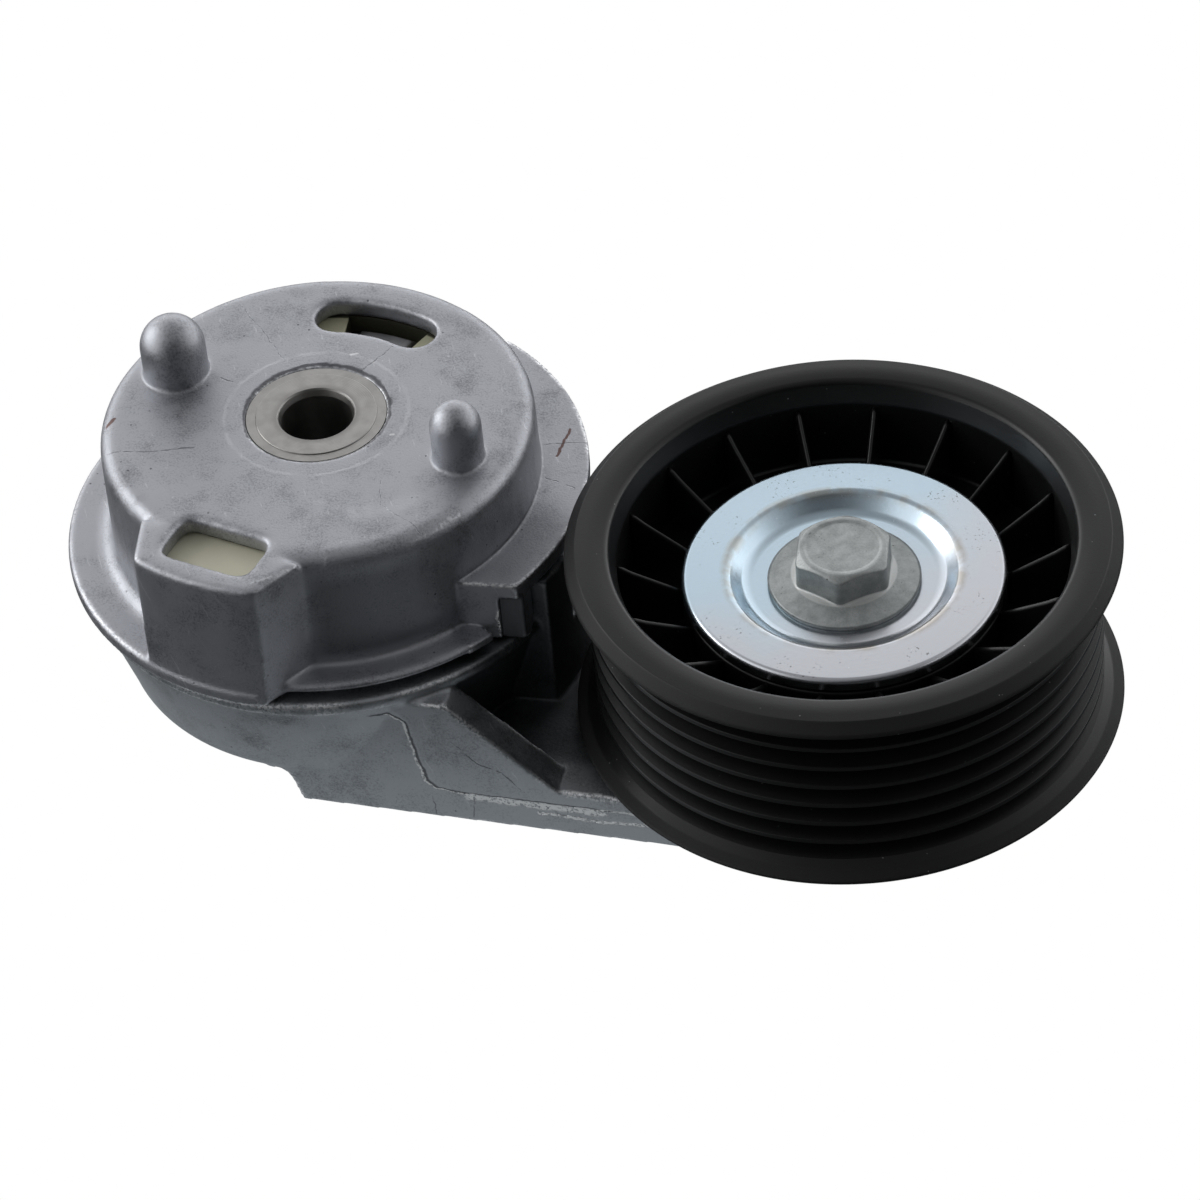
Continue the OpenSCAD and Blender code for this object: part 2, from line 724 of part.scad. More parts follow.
module bearing_outer_ring() color("#b4b6b8") {
    difference() {
        translate([arm_reach, 0]) ring(shoulder_out_r, bearing_r, z_bearing_low, z_bearing);
        race_groove();
        translate([arm_reach, 0]) ring(1, seal_seat_r, z_bearing - seal_in - seal_t, z_bearing + 1);
        translate([arm_reach, 0]) ring(1, seal_seat_r, z_bearing_low - 1, z_bearing_low + seal_in + seal_t);
    }
}

module bearing_inner_ring() color("#b4b6b8") {
    difference() {
        translate([arm_reach, 0]) ring(bearing_bore_r, shoulder_in_r, z_bearing_low, z_bearing);
        race_groove();
    }
}

module bearing_balls() color("#c8cacc") {
    for (i = [0:balls - 1])
        translate(concat(polar(pitch_r, i * 360 / balls) + [arm_reach, 0], [z_mid])) sphere(ball_r);
}

// The crown cage: a ring above the balls with fingers between them
module bearing_cage() color("#b08a3e") {
    half_w = shoulder_out_r - pitch_r - free_gap;
    low = -ball_r * 0.7;
    high = bearing_w / 2 - seal_in - seal_t - free_gap;
    translate([arm_reach, 0, z_mid]) difference() {
        ring(pitch_r - half_w, pitch_r + half_w, low, high);
        for (i = [0:balls - 1]) translate(polar(pitch_r, i * 360 / balls)) sphere(race_r);
    }
}

module bearing_seal(z) {
    translate([arm_reach, 0]) ring(shoulder_in_r + free_gap, seal_seat_r - fit_clear, z, z + seal_t);
}

module bearing_seal_front() color("#5a3a2c") {
    bearing_seal(z_bearing - seal_in - seal_t);
}

module bearing_seal_rear() color("#5a3a2c") {
    bearing_seal(z_bearing_low + seal_in);
}

module dust_shield() color("#cfd6da") {
    edge = shield_t;
    hole_r = bolt_r + free_gap;
    translate([arm_reach, 0, 0]) rotate_extrude() polygon(concat(
        [[hole_r, z_dish], [dish_floor_r, z_dish], [dish_r, z_shield]],
        arc(shield_r - edge, z_shield - edge, edge, 90, 0, 6),
        [[shield_r, z_shield - shield_drop], [shield_r - shield_t * 0.6, z_shield - shield_drop],
            [shield_r - shield_t * 0.9, z_shield - shield_t], [dish_r + shield_t * 0.6, z_shield - shield_t],
            [dish_floor_r + shield_t * 0.6, z_bearing], [hole_r, z_bearing]]));
}

module pulley_bolt() color("#9b9d9c") {
    hex_r = hex_af / 2 / cos(30);
    z_top = z_dish + hex_h;
    translate([arm_reach, 0, 0]) {
        slab(z_dish - bolt_l, z_dish + 1) circle(bolt_r);
        rotate_extrude() polygon([[0, z_dish], [bolt_flange_r - 0.2, z_dish], [bolt_flange_r, z_dish + 0.2],
            [bolt_flange_r, z_dish + bolt_flange_t], [hex_af / 2, z_dish + bolt_flange_t + 1], [0, z_dish + bolt_flange_t + 1]]);
        intersection() {
            translate([0, 0, z_dish]) rotate(hex_a) cylinder(r = hex_r, h = hex_h, $fn = 6);
            translate([0, 0, z_dish]) cylinder(r = hex_corner_r, h = hex_h);
            rotate_extrude() polygon([[0, z_dish], [hex_r + 1, z_dish], [hex_r + 1, z_top - 1.1],
                [hex_af / 2 - 0.6, z_top], [0, z_top]]);
        }
    }
}

base_housing();
pivot_tube();
mounting_sleeve();
damper_shoe();
spring_bushing();
torsion_spring();
arm_casting();
pivot_bushing();
spring_seat();
thrust_washer();
end_plate();
pulley_wheel();
bearing_outer_ring();
bearing_inner_ring();
bearing_balls();
bearing_cage();
bearing_seal_front();
bearing_seal_rear();
dust_shield();
pulley_bolt();
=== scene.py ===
# %% [markdown]
# # A belt tensioner with its idler pulley
# The part is a spring-loaded arm that keeps a ribbed belt tight. A die-cast housing bolts to the
# engine, a cast arm swings under it, and a black pulley runs on a ball bearing at the arm's end.
# The frame below holds every piece at its real place, in metres. Sizes in this file are in
# millimetres, because that is how a maker reads them, and MM turns them into Blender's metres.

# %% The frame that every piece sits in
import math

import bmesh
import bpy
import numpy as np
from mathutils import Matrix, Vector


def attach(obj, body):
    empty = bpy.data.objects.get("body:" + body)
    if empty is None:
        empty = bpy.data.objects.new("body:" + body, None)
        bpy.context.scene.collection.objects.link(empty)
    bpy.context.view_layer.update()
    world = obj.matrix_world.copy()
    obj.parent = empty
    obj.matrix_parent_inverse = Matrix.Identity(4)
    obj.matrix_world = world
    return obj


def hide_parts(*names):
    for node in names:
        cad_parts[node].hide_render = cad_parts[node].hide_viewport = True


MM = 0.001
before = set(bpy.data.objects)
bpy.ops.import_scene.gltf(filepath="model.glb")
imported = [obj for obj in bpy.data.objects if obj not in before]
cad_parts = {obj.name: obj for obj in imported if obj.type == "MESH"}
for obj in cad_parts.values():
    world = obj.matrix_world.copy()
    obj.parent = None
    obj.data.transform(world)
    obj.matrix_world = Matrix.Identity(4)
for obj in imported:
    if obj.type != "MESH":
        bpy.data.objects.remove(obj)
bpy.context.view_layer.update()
scene = bpy.context.scene

# %% [markdown]
# ## The camera
# The picture was taken with a long lens from the front right, looking down on the part, and the
# camera was tilted a little. A camera could be placed by typing a matrix. Here it is placed as a
# photographer would say it: where it aims, from how far, from which side, how high, and its tilt.

# %% The camera
AIM = Vector((44.2, -6.8, -20)) * MM
DISTANCE = 783.4
AZIMUTH, ELEVATION, TILT = -67.31, 42.71, -5.37
FOCAL_LENGTH, SENSOR = 164.08, 36


def direction(azimuth, elevation):
    """The way out from the part, from two angles in degrees."""
    turn, climb = math.radians(azimuth), math.radians(elevation)
    return Vector((math.cos(turn) * math.cos(climb), math.sin(turn) * math.cos(climb), math.sin(climb)))


def looking_in(way, distance):
    """The place and turn of a camera or lamp that looks back along a way to the aim."""
    return Matrix.Translation(AIM + way * distance * MM) @ (-way).to_track_quat("-Z", "Y").to_matrix().to_4x4()


lens = bpy.data.cameras.new("studio_camera")
lens.lens = FOCAL_LENGTH
lens.sensor_width = SENSOR
camera = bpy.data.objects.new("studio_camera", lens)
scene.collection.objects.link(camera)
tilt = Matrix.Rotation(math.radians(TILT), 4, "Z")
camera.matrix_world = looking_in(direction(AZIMUTH, ELEVATION), DISTANCE) @ tilt
scene.camera = camera
print("camera at", [round(v / MM) for v in camera.matrix_world.translation])

# %% [markdown]
# ## Shader maths as Python sums
# A finish is a graph of small nodes, and a graph is hard to read as code. Each output socket is
# wrapped in a Wire, so that a sum such as 1 - mask adds the Math node that it needs. Every other
# node comes from one method of the Graph, which sets the node up first and links it after.


# %% A socket that can be added, scaled and compared
class Wire:
    """An output socket of a graph."""

    def __init__(self, graph, socket):
        self.graph = graph
        self.socket = socket

    def maths(self, operation, a, b):
        return self.graph.node("Math", {"operation": operation}, Value=a, Value_001=b)

    def __add__(self, other):
        return self.maths("ADD", self, other)

    def __radd__(self, other):
        return self.maths("ADD", other, self)

    def __sub__(self, other):
        return self.maths("SUBTRACT", self, other)

    def __rsub__(self, other):
        return self.maths("SUBTRACT", other, self)

    def __mul__(self, other):
        return self.maths("MULTIPLY", self, other)

    def __rmul__(self, other):
        return self.maths("MULTIPLY", other, self)

    def least(self, other):
        return self.maths("MINIMUM", self, other)

    def most(self, other):
        return self.maths("MAXIMUM", self, other)

    def unsigned(self):
        return self.graph.node("Math", {"operation": "ABSOLUTE"}, Value=self)

    def sine(self):
        return self.graph.node("Math", {"operation": "SINE"}, Value=self)

    def rise(self, low, high):
        """0 below low, 1 above high, and a smooth slope between."""
        settings = {"interpolation_type": "SMOOTHSTEP", "clamp": True}
        return self.graph.node("MapRange", settings, Value=self, From_Min=low, From_Max=high)


# %% A graph that grows node by node
class Graph:
    """The node tree of a material or of the world."""

    def __init__(self, tree):
        self.tree = tree

    def plug(self, socket, value):
        if isinstance(value, Wire):
            self.tree.links.new(value.socket, socket)
        elif socket.type == "RGBA" and len(value) == 3:
            socket.default_value = (*value, 1)
        else:
            socket.default_value = value

    def node(self, kind, settings=None, out=None, **values):
        made = self.tree.nodes.new("ShaderNode" + kind)
        for key, value in (settings or {}).items():
            setattr(made, key, value)
        for key, value in values.items():
            found = [s for s in made.inputs if s.enabled and s.identifier == key]
            found += [s for s in made.inputs if s.enabled and s.name == key.replace("_", " ")]
            self.plug(found[0], value)
        outs = [s for s in made.outputs if s.enabled and out in (None, s.name)]
        return Wire(self, outs[0])

    def mix(self, factor, a, b):
        """Colour a where the factor is 0, and colour b where it is 1."""
        return self.node("Mix", {"data_type": "RGBA"}, Factor=factor, A=a, B=b)

    def vectors(self, operation, a, b):
        """Vector maths on two vectors, such as their difference, dot product or distance."""
        return self.node("VectorMath", {"operation": operation}, Vector=a, Vector_001=b)

    def scaled(self, vector, amount):
        return self.node("VectorMath", {"operation": "SCALE"}, Vector=vector, Scale=amount)


# %% A finish is a graph in real millimetres
class Finish(Graph):
    """A material whose patterns and drawings are made by the methods below."""

    def __init__(self, name):
        self.material = bpy.data.materials.new(name)
        self.material.use_nodes = True
        super().__init__(self.material.node_tree)
        self.place = self.scaled(self.node("TexCoord", out="Object"), 1 / MM)
        self.wander = self.place

    def cloud(self, size, detail=3.0, at=None, roughness=0.5):
        """Soft noise from 0 to 1, with lumps about as large as size, in millimetres."""
        return self.node("TexNoise", out="Fac", Vector=at or self.place, Scale=1 / size, Detail=detail,
                         Roughness=roughness)

    def dots(self, spacing, core, edge):
        """1 on scattered dots, fading from a core to an edge that are given in parts of their spacing."""
        away = self.node("TexVoronoi", out="Distance", Vector=self.place, Scale=1 / spacing)
        return 1 - away.rise(core, edge)

    def axis(self, name):
        return self.node("SeparateXYZ", out=name, Vector=self.place)

    def from_axis(self, axis):
        """Distance in millimetres from an upright axis through a point of the plan."""
        return self.vectors("DISTANCE", self.vectors("MULTIPLY", self.place, (1, 1, 0)), (*axis, 0))

    def attribute(self, name):
        return self.node("Attribute", {"attribute_name": name}, out="Fac")

    def bumps(self, height, depth):
        """A normal that follows a height from 0 to 1, which stands for a depth in millimetres."""
        return self.node("Bump", Height=height, Distance=depth * MM)

    def wobble(self, size, reach):
        """Pushes the drawings about by noise, so that straight lines wander."""
        noise = self.node("TexNoise", out="Color", Vector=self.place, Scale=1 / size, Detail=2.0)
        push = self.scaled(self.vectors("SUBTRACT", noise, (0.5,) * 3), 2 * reach)
        self.wander = self.vectors("ADD", self.place, push)

    def plan(self, along, up):
        """The place as a flat drawing: how far along one direction, and how far along another."""
        return self.node("CombineXYZ", X=self.vectors("DOT_PRODUCT", self.wander, along),
                         Y=self.vectors("DOT_PRODUCT", self.wander, up))

    def stroke(self, path, drawing):
        """Distance from a path of points on a flat drawing."""
        nearest = None
        for (ax, ay), (bx, by) in zip(path, path[1:]):
            run = Vector((bx - ax, by - ay, 0))
            start = self.vectors("SUBTRACT", drawing, (ax, ay, 0))
            along = self.vectors("DOT_PRODUCT", start, run / run.length_squared).most(0.0).least(1.0)
            gap = self.vectors("DISTANCE", start, self.scaled(run, along))
            nearest = gap if nearest is None else nearest.least(gap)
        return nearest

    def circle(self, x, y, radius, drawing):
        """Distance from a circle on a flat drawing."""
        return (self.vectors("DISTANCE", drawing, (x, y, 0)) - radius).unsigned()

    def done(self, **values):
        skin = self.tree.nodes["Principled BSDF"]
        for key, value in values.items():
            self.plug(skin.inputs[key.replace("_", " ")], value)
        print("finish", self.material.name, "has", len(self.tree.nodes), "nodes")
        return self.material


# %% [markdown]
# ## The studio
# The part lies on a plain white sheet. Bare metal shows little colour of its own: it shows the room.
# The wall behind the part is pale, brightest near the horizon, and lights the tops and the rims. A box
# on the left fills the round of the housing, two weaker ones help from above and from the right, and
# the dark side of the room, behind the camera, keeps the front faces deep. A picture of a real studio
# could light it too, but a few plain panels and a plain wall can be named and moved one by one. The
# sheet is white to the lens, and gives back less light the further off it lies.

# %% Soft boxes
BOX_DISTANCE = 1000


def softbox(name, azimuth, elevation, width, height, brightness):
    """A glowing panel that faces the part from a direction given in degrees."""
    light = bpy.data.lights.new(name, "AREA")
    light.shape = "RECTANGLE"
    light.size = width * MM
    light.size_y = height * MM
    light.energy = brightness * math.pi * width * height * MM * MM
    lamp = bpy.data.objects.new(name, light)
    scene.collection.objects.link(lamp)
    lamp.matrix_world = looking_in(direction(azimuth, elevation), BOX_DISTANCE)


softbox("left_box", 182, 27, 480, 440, 3.0)
softbox("high_box", 218, 52, 420, 320, 0.3)
softbox("right_box", -12, 30, 200, 280, 0.8)

# %% The white sheet
FLOOR_Z = -47.05
SHEET = 1600
UNDER_PART = [(0, 0), (45, -8)]
NEAR_BOUNCE, FAR_BOUNCE = (0.34, 0.36, 0.375), (0.08, 0.085, 0.089)
WHITE = (1, 1, 1)

sheet_mesh = bpy.data.meshes.new("sheet")
corners = [(x * SHEET * MM, y * SHEET * MM, FLOOR_Z * MM) for x, y in ((-1, -1), (1, -1), (1, 1), (-1, 1))]
sheet_mesh.from_pydata(corners, [], [(0, 1, 2, 3)])
sheet = bpy.data.objects.new("sheet", sheet_mesh)
scene.collection.objects.link(sheet)

paper = Finish("white_sheet")
off_part = paper.stroke(UNDER_PART, paper.plan((1, 0, 0), (0, 1, 0)))
bounce = paper.node("Emission", Color=paper.mix(off_part.rise(35, 56), NEAR_BOUNCE, FAR_BOUNCE))
bright = paper.node("Emission", Color=WHITE, Strength=1.0)
to_lens = paper.node("LightPath", out="Is Camera Ray")
seen = paper.node("MixShader", Fac=to_lens, Shader=bounce, Shader_001=bright)
paper.plug(paper.tree.nodes["Material Output"].inputs["Surface"], seen)
sheet_mesh.materials.append(paper.material)
print("sheet at", FLOOR_Z, "mm")

# %% The room
BACK_WALL = (-0.574, 0.819, 0)
DARK_WALL, PALE_WALL = (0.02, 0.021, 0.022), (1.96, 1.97, 2.0)

room = bpy.data.worlds.new("room")
scene.world = room
room.use_nodes = True
walls = Graph(room.node_tree)
looking = walls.node("TexCoord", out="Generated")
backward = walls.vectors("DOT_PRODUCT", looking, BACK_WALL)
overhead = walls.node("SeparateXYZ", out="Z", Vector=looking)
lit = backward.rise(-0.8, 0.0) * (1 - 0.74 * overhead.rise(0.5, 0.97))
lit = lit * (1 - 0.49 * overhead.rise(0.1, 0.42))
wall = walls.mix(lit, DARK_WALL, PALE_WALL)
seen_wall = walls.mix(walls.node("LightPath", out="Is Camera Ray"), wall, WHITE)
walls.plug(room.node_tree.nodes["Background"].inputs["Color"], seen_wall)
scene.view_settings.view_transform = "Standard"
print("room has", len(room.node_tree.nodes), "nodes")

# %% [markdown]
# ## Cast aluminium alloy
# The housing and the arm are pressure die castings, left as they come from the die. The skin is dull grey,
# clouded where the metal chilled, with a fine sandy grain, hairline flow marks, a few pits, and brighter edges
# where the burrs were tumbled off. A picture could be wrapped round them, but noise in real millimetres keeps
# its scale on every face, so the finish is built from noise and from two values kept at each point of the mesh:
# how sharp an edge it lies on, and how deep in a corner. The colour is darker deep in corners, and on a few
# faces given below, as painted shade.

# %% What each kind of mark looks like
# A line is solid over its core, a share of its width. Noise with lumps as large as its breaks, in
# millimetres, cuts the line within its gaps. It stands out of the skin, or lies in it below 0.
MARK_KINDS = {
    "crack": {"colour": (0.05, 0.05, 0.055), "strength": 0.5, "core": 0.2,
              "breaks": 1.2, "gaps": (0.36, 0.55), "stands": -0.8, "rough": 0.0},
    "rust": {"colour": (0.13, 0.05, 0.03), "strength": 0.8, "core": 0.5,
             "breaks": 0.8, "gaps": (0.2, 0.3), "stands": -0.3, "rough": 0.1},
    "witness": {"colour": (0.72, 0.73, 0.75), "strength": 0.22, "core": 0.1,
                "breaks": 4, "gaps": (0.3, 0.6), "stands": 0.25, "rough": -0.05},
    "scuff": {"colour": (0.6, 0.61, 0.63), "strength": 0.3, "core": 0.0,
              "breaks": 3.5, "gaps": (0.3, 0.7), "stands": 0.0, "rough": -0.06},
    "seam": {"colour": (0.05, 0.05, 0.055), "strength": 0.75, "core": 0.25,
             "breaks": 3, "gaps": (0.15, 0.3), "stands": -1.2, "rough": 0.05},
    "ding": {"colour": (0.82, 0.82, 0.82), "strength": 0.6, "core": 0.2,
             "breaks": 0.8, "gaps": (0.2, 0.4), "stands": -0.4, "rough": -0.05},
    "burnish": {"colour": (0.72, 0.74, 0.77), "strength": 0.6, "core": 0.0,
                "breaks": 0.5, "gaps": (0.35, 0.6), "stands": 0.2, "rough": -0.1},
    # The next two kinds are painted shade: dark patches where a face lies in shade.
    "soft_shade": {"colour": (0.1, 0.105, 0.11), "strength": 0.42, "core": 0.0,
              "breaks": 5, "gaps": (0.1, 0.45), "stands": 0.0, "rough": 0.05},
    "dark_shade": {"colour": (0.07, 0.072, 0.078), "strength": 0.7, "core": 0.9,
             "breaks": 4, "gaps": (0.0, 0.2), "stands": 0.0, "rough": 0.1},
    "flash": {"colour": (0.85, 0.85, 0.84), "strength": 0.95, "core": 0.45,
              "breaks": 0.5, "gaps": (0.34, 0.5), "stands": 2.2, "rough": -0.12},
}
print("kinds of mark:", ", ".join(MARK_KINDS))


# %% Finish for the castings
BRIGHT_EDGE, FLECK, PIT = (0.88, 0.89, 0.9), (0.7, 0.71, 0.73), (0.04, 0.04, 0.042)
# Near-black colour of the painted shade on the castings.
PAINTED_SHADE_TONE = (0.02, 0.021, 0.022)


def dimmed(tone, share):
    return tuple(share * v for v in tone)


def cast_alloy(name, tone, marks, painted_shade):
    """Die-cast skin, with painted shade where the given mask is high. Each mark is a kind, a path of points or
    a circle (x, y, radius) on a flat drawing, the width of its line and that drawing."""
    f = Finish(name)
    f.wobble(1.5, 0.4)
    broad = f.cloud(13, 5, roughness=0.6)
    patch = f.cloud(3.6, 5, roughness=0.6)
    grain = f.cloud(0.32, 3, roughness=0.7).rise(0.25, 0.75)
    smudge = f.cloud(8, 4, roughness=0.6).rise(0.45, 0.75)
    flow = f.cloud(0.55, 3, at=f.plan((0.1, 0.06, 0.03), (-0.5, 0.86, 0.4)))
    scratch = f.cloud(0.4, 2, at=f.plan((0.05, -0.09, 0.06), (0.87, 0.5, 0.3))).rise(0.67, 0.73)
    pits = f.dots(2.3, 0.05, 0.1) * f.cloud(7, 2).rise(0.52, 0.62)
    flecks = f.dots(1.7, 0.07, 0.14) * f.cloud(4, 2).rise(0.55, 0.62)
    shade = 0.9 * broad + 0.75 * patch + 0.5 * grain + 0.12 * flow - 0.22 * smudge - 0.13
    colour = f.mix(shade.most(0.0).least(1.25), (0, 0, 0), tone)
    # Darker in the hollows: painted shade in the corners.
    colour = f.mix(f.attribute("hollow").rise(0.2, 1.0) * 0.45, colour, dimmed(tone, 0.3))
    worn = f.attribute("edge").rise(0.3, 0.75) * f.cloud(0.45, 3).rise(0.4, 0.54)
    worn = worn * f.cloud(7, 2).rise(0.38, 0.54)
    colour = f.mix(worn * 0.85, colour, BRIGHT_EDGE)
    colour = f.mix((flecks + scratch).least(1.0) * 0.4, colour, FLECK)
    colour = f.mix(pits * 0.7, colour, PIT)
    # Painted shade on the faces that the given mask picks.
    colour = f.mix(painted_shade(f) * 0.6, colour, PAINTED_SHADE_TONE)
    rough = 0.28 + 0.22 * patch + 0.12 * grain + 0.06 * smudge - 0.06 * worn
    height = patch * 0.5 + grain * 0.25 + flow * 0.15 - pits * 0.5
    for kind, line, width, drawing in marks:
        look = MARK_KINDS[kind]
        plan = drawing.plan(f)
        off = f.stroke(line, plan) if isinstance(line, list) else f.circle(*line, plan)
        mark = 1 - off.rise(look["core"] * width, width)
        mark = mark * drawing.near(f) * f.cloud(look["breaks"], 2).rise(*look["gaps"])
        colour = f.mix(mark * look["strength"], colour, look["colour"])
        height = height + mark * look["stands"]
        rough = rough + mark * look["rough"]
    return f.done(Base_Color=colour, Metallic=0.93, Roughness=rough, Normal=f.bumps(height, 0.06))


# %% [markdown]
# ## Marks on the castings
# Cracks in the cast skin, the seam where the die's halves met, crumbs of flash along it, a touch of rust and
# bright scuffs each have their own place on the real part. They could be painted on a picture and wrapped round
# it. Here each one is a short line on a flat drawing of the face that it lies on, in millimetres, so it keeps
# its place seen from any side and needs no unwrapping. Two dark patches, on the lug's face and on the roof's
# front end, are painted shade drawn the same way.

# %% Drawings of the faces
PIVOT, WHEEL = (0, 0), (79, 0)
ARM_HUB, ARM_END = 31.5, 24.5
ROOF_Z = -11.6
STOP_SLANT = math.radians(8.5)


class Drawing:
    """A flat face of a casting, given by two directions on it and by its distance along its normal."""

    def __init__(self, along, up, out, distance, reach):
        self.axes = (along, up)
        self.out = out
        self.distance = distance
        self.reach = reach

    def plan(self, f):
        return f.plan(*self.axes)

    def near(self, f):
        """1 on the face, and 0 away from it."""
        off = (f.vectors("DOT_PRODUCT", f.place, self.out) - self.distance).unsigned()
        return 1 - off.rise(0.6 * self.reach, self.reach)


def level(height, reach=0.7):
    """A face that looks up."""
    return Drawing((1, 0, 0), (0, 1, 0), (0, 0, 1), height, reach)


def upright(slant, distance, reach):
    """A front wall, turned about the pivot by a slant in radians."""
    across, back = math.cos(slant), math.sin(slant)
    return Drawing((across, back, 0), (0, 0, 1), (back, -across, 0), distance, reach)


drum_top = level(0)
drum_edge = level(-0.8, 1.4)
roof_top = level(ROOF_Z)
arm_front = upright(math.asin((ARM_HUB - ARM_END) / WHEEL[0]), 31.6, 1.5)
stop_face = upright(STOP_SLANT, 20.74, 0.5)
lug_face = upright(STOP_SLANT, 20.04, 0.5)

# %% Marks on the housing
base_marks = [
    ("crack", [(-19.4, 19.7), (-14.5, 15.5), (-8.6, 9.6)], 0.16, drum_top),
    ("crack", [(-26.5, -15.5), (-20.2, -13.8), (-14.3, -11.2)], 0.14, drum_top),
    ("crack", [(3, 10.5), (5.5, 16.7)], 0.16, drum_top),
    ("crack", [(14, -11), (16, -16), (23.3, -19.6)], 0.12, drum_top),
    ("crack", [(-16.5, 3.9), (-14.5, 3.5)], 0.2, drum_top),
    ("crack", [(16.6, 28.2), (12.7, 30.2)], 0.14, drum_top),
    ("scuff", [(6, -22), (13, -18.5), (21, -14)], 2.6, drum_top),
    ("witness", (*PIVOT, 13.4), 0.5, drum_top),
    ("seam", (0, 0.3, 10.55), 0.5, drum_top),
    ("scuff", [(6.5, -17.6), (9, -17), (10.6, -18.2)], 1.1, drum_top),
    # Painted shade on the roof's front end, near the pulley.
    ("soft_shade", [(33.4, -13.5), (35.4, -3.5)], 7, roof_top),
    ("burnish", [(4.4, -35.9), (6.9, -33.3), (9.1, -30.2)], 0.45, drum_edge),
    ("burnish", [(22.2, -22), (24.7, -18.6), (27.3, -14.2)], 0.4, drum_edge),
    ("scuff", [(-3, -37.2), (1.6, -37)], 0.9, drum_edge),
    ("ding", [(12.1, -1.6), (12.6, -1.4)], 0.32, drum_top),
    ("ding", [(0.2, 13.7), (0.9, 14)], 0.34, drum_top),
    ("flash", [(29.6, -16.6), (29.4, -18.4), (29.5, -20.5)], 0.42, stop_face),
    # Painted shade on the lug's face.
    ("dark_shade", [(31.2, -14.9), (31.2, -24)], 2.4, lug_face),
    ("rust", [(-28.8, -10), (-28.1, -8.4)], 0.4, drum_top),
    ("rust", [(31.5, 18.2), (31.7, 12.3)], 0.3, roof_top),
    ("crack", [(28.4, 14), (35.3, 16.4)], 0.14, roof_top),
    ("crack", [(31.6, 7.3), (36.5, 6.4)], 0.14, roof_top),
]


def wall_painted_shade(f):
    """Up to 0.7 on the drum's front wall, between the box and the stop: painted shade."""
    wall_height = f.axis("Z").rise(-18.7, -17.2) * (1 - f.axis("Z").rise(-5.5, -1.5))
    in_front = 1 - f.axis("Y").rise(-17, -9)
    return 0.7 * wall_height * in_front * f.axis("X").rise(8.5, 12) * (1 - f.axis("X").rise(20, 31))


base_finish = cast_alloy("cast_base", (0.445, 0.453, 0.484), base_marks, wall_painted_shade)

# %% Marks on the arm
SEAM = [(13, -26.6), (17, -27), (19.3, -28.4), (20, -32), (20.8, -36), (21.7, -39.7), (23.3, -41),
        (27, -41.3)]
arm_marks = [
    ("seam", SEAM, 0.36, arm_front),
    ("flash", [(s - 0.4, z - 0.2) for s, z in SEAM[1:]], 0.3, arm_front),
    ("seam", [(27, -41.2), (60, -41.2)], 0.2, arm_front),
    ("flash", [(27.5, -42), (36, -42.1), (47.5, -42)], 0.95, arm_front),
    ("flash", [(47, -41.3), (60, -41.2)], 0.4, arm_front),
    ("flash", [(38, -43.6), (47, -43.9), (56, -43.4)], 0.45, arm_front),
    ("crack", [(22, -41.5), (22.4, -46.5)], 0.16, arm_front),
    ("crack", [(28.2, -42.5), (28, -46.8)], 0.16, arm_front),
    ("crack", [(26, -31), (29.5, -35), (33, -36), (36, -39.5)], 0.14, arm_front),
]


def pocket_painted_shade(f):
    """1 on the faces behind the arm's front wall, which get painted shade."""
    behind = 1 - f.vectors("DOT_PRODUCT", f.place, arm_front.out).rise(23, 28)
    return behind * f.axis("X").rise(12, 20) * (1 - f.axis("X").rise(46, 66))


arm_finish = cast_alloy("cast_arm", (0.45, 0.472, 0.495), arm_marks, pocket_painted_shade)

# %% [markdown]
# ## Plastic, zinc and steel
# The pulley is glass-filled nylon, black and slightly rough from the mould, with pale dust specks. The
# dust shield is zinc plated and passivated, so it is bright with a faint blue and straw cast. The bolt
# wears a grey zinc-flake coat, and the tube and sleeve in the middle of the housing are turned steel,
# which shows the rings that the tool left. One flat colour each would look like paint, so each is a
# short recipe of noise, specks and rings on the same few tools.

# %% Finish for the pulley
RIM_EDGE = 37.8


def black_nylon(name):
    """Black nylon, duller on the bevels outside the rim's edge."""
    f = Finish(name)
    grain = f.cloud(0.35, 4)
    cloudy = f.cloud(9, 3)
    speck = f.dots(2.1, 0.03, 0.06) * f.cloud(9, 1).rise(0.46, 0.56)
    colour = f.mix(cloudy, (0.005, 0.005, 0.0052), (0.008, 0.008, 0.0082))
    colour = f.mix(speck * 0.6, colour, (0.35, 0.35, 0.35))
    outside = f.from_axis(WHEEL).rise(RIM_EDGE - 0.2, RIM_EDGE + 0.2)
    rough = 0.25 + 0.08 * cloudy + 0.06 * grain + 0.3 * outside
    return f.done(Base_Color=colour, Roughness=rough, Normal=f.bumps(grain, 0.012), Specular_IOR_Level=0.42)


# %% Finishes for the shield and the bolt
BEND_R = 16.6
JOINT_R, JOINT_Z = 7.3, -12.1
BLUE_ZINC, GREY_ZINC, STRAW = (0.62, 0.76, 0.86), (0.7, 0.715, 0.755), (0.45, 0.38, 0.27)
DULL_FLAKE, PALE_FLAKE, BARE = (0.32, 0.34, 0.335), (0.52, 0.54, 0.535), (0.75, 0.76, 0.75)


